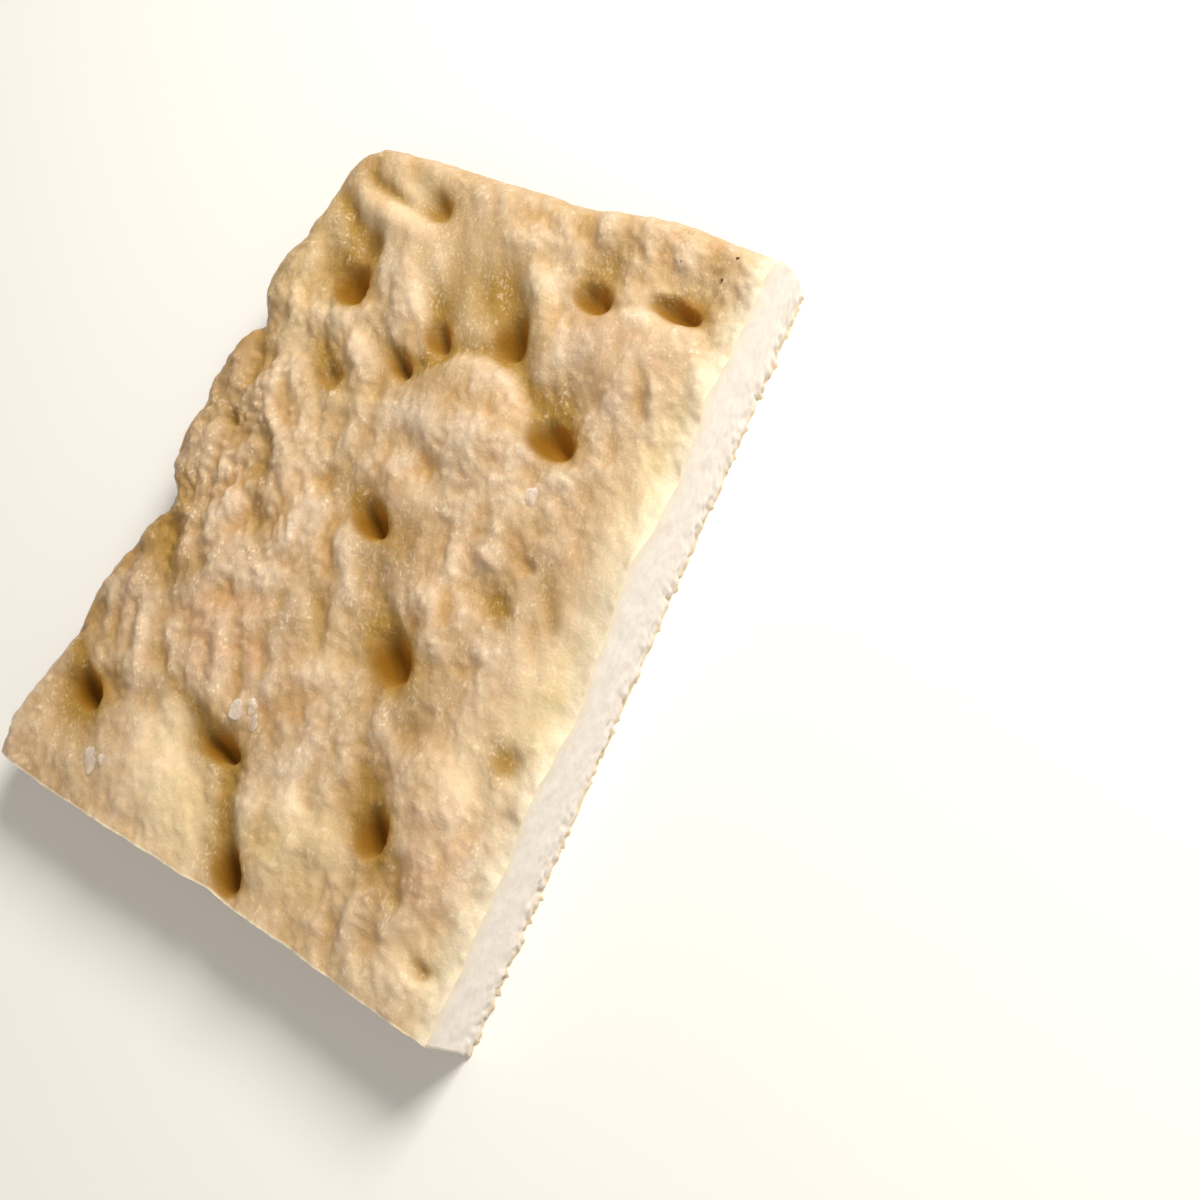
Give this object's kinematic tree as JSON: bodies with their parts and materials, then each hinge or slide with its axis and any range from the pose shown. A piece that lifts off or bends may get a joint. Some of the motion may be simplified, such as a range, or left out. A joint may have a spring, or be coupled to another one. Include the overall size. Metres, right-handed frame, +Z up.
{
  "type": "focaccia piece",
  "caption": "Flat corner piece of dimpled focaccia with two baked rounded edges and two knife cuts that show the white crumb.",
  "frame": {"origin": "middle of the piece in plan, at the base that it lies on", "axes": "+X across the piece towards the long cut, +Y along it towards the far baked edge, +Z up through the crust"},
  "size_m": [0.171, 0.207, 0.0236],
  "materials": {
    "crust": "soft baked crust, oily in the hollows, with a matt white crumb on the cuts",
    "salt": "cloudy wet crystals"
  },
  "bodies": {
    "root": {"focaccia": "crust"}
  },
  "joints": []
}
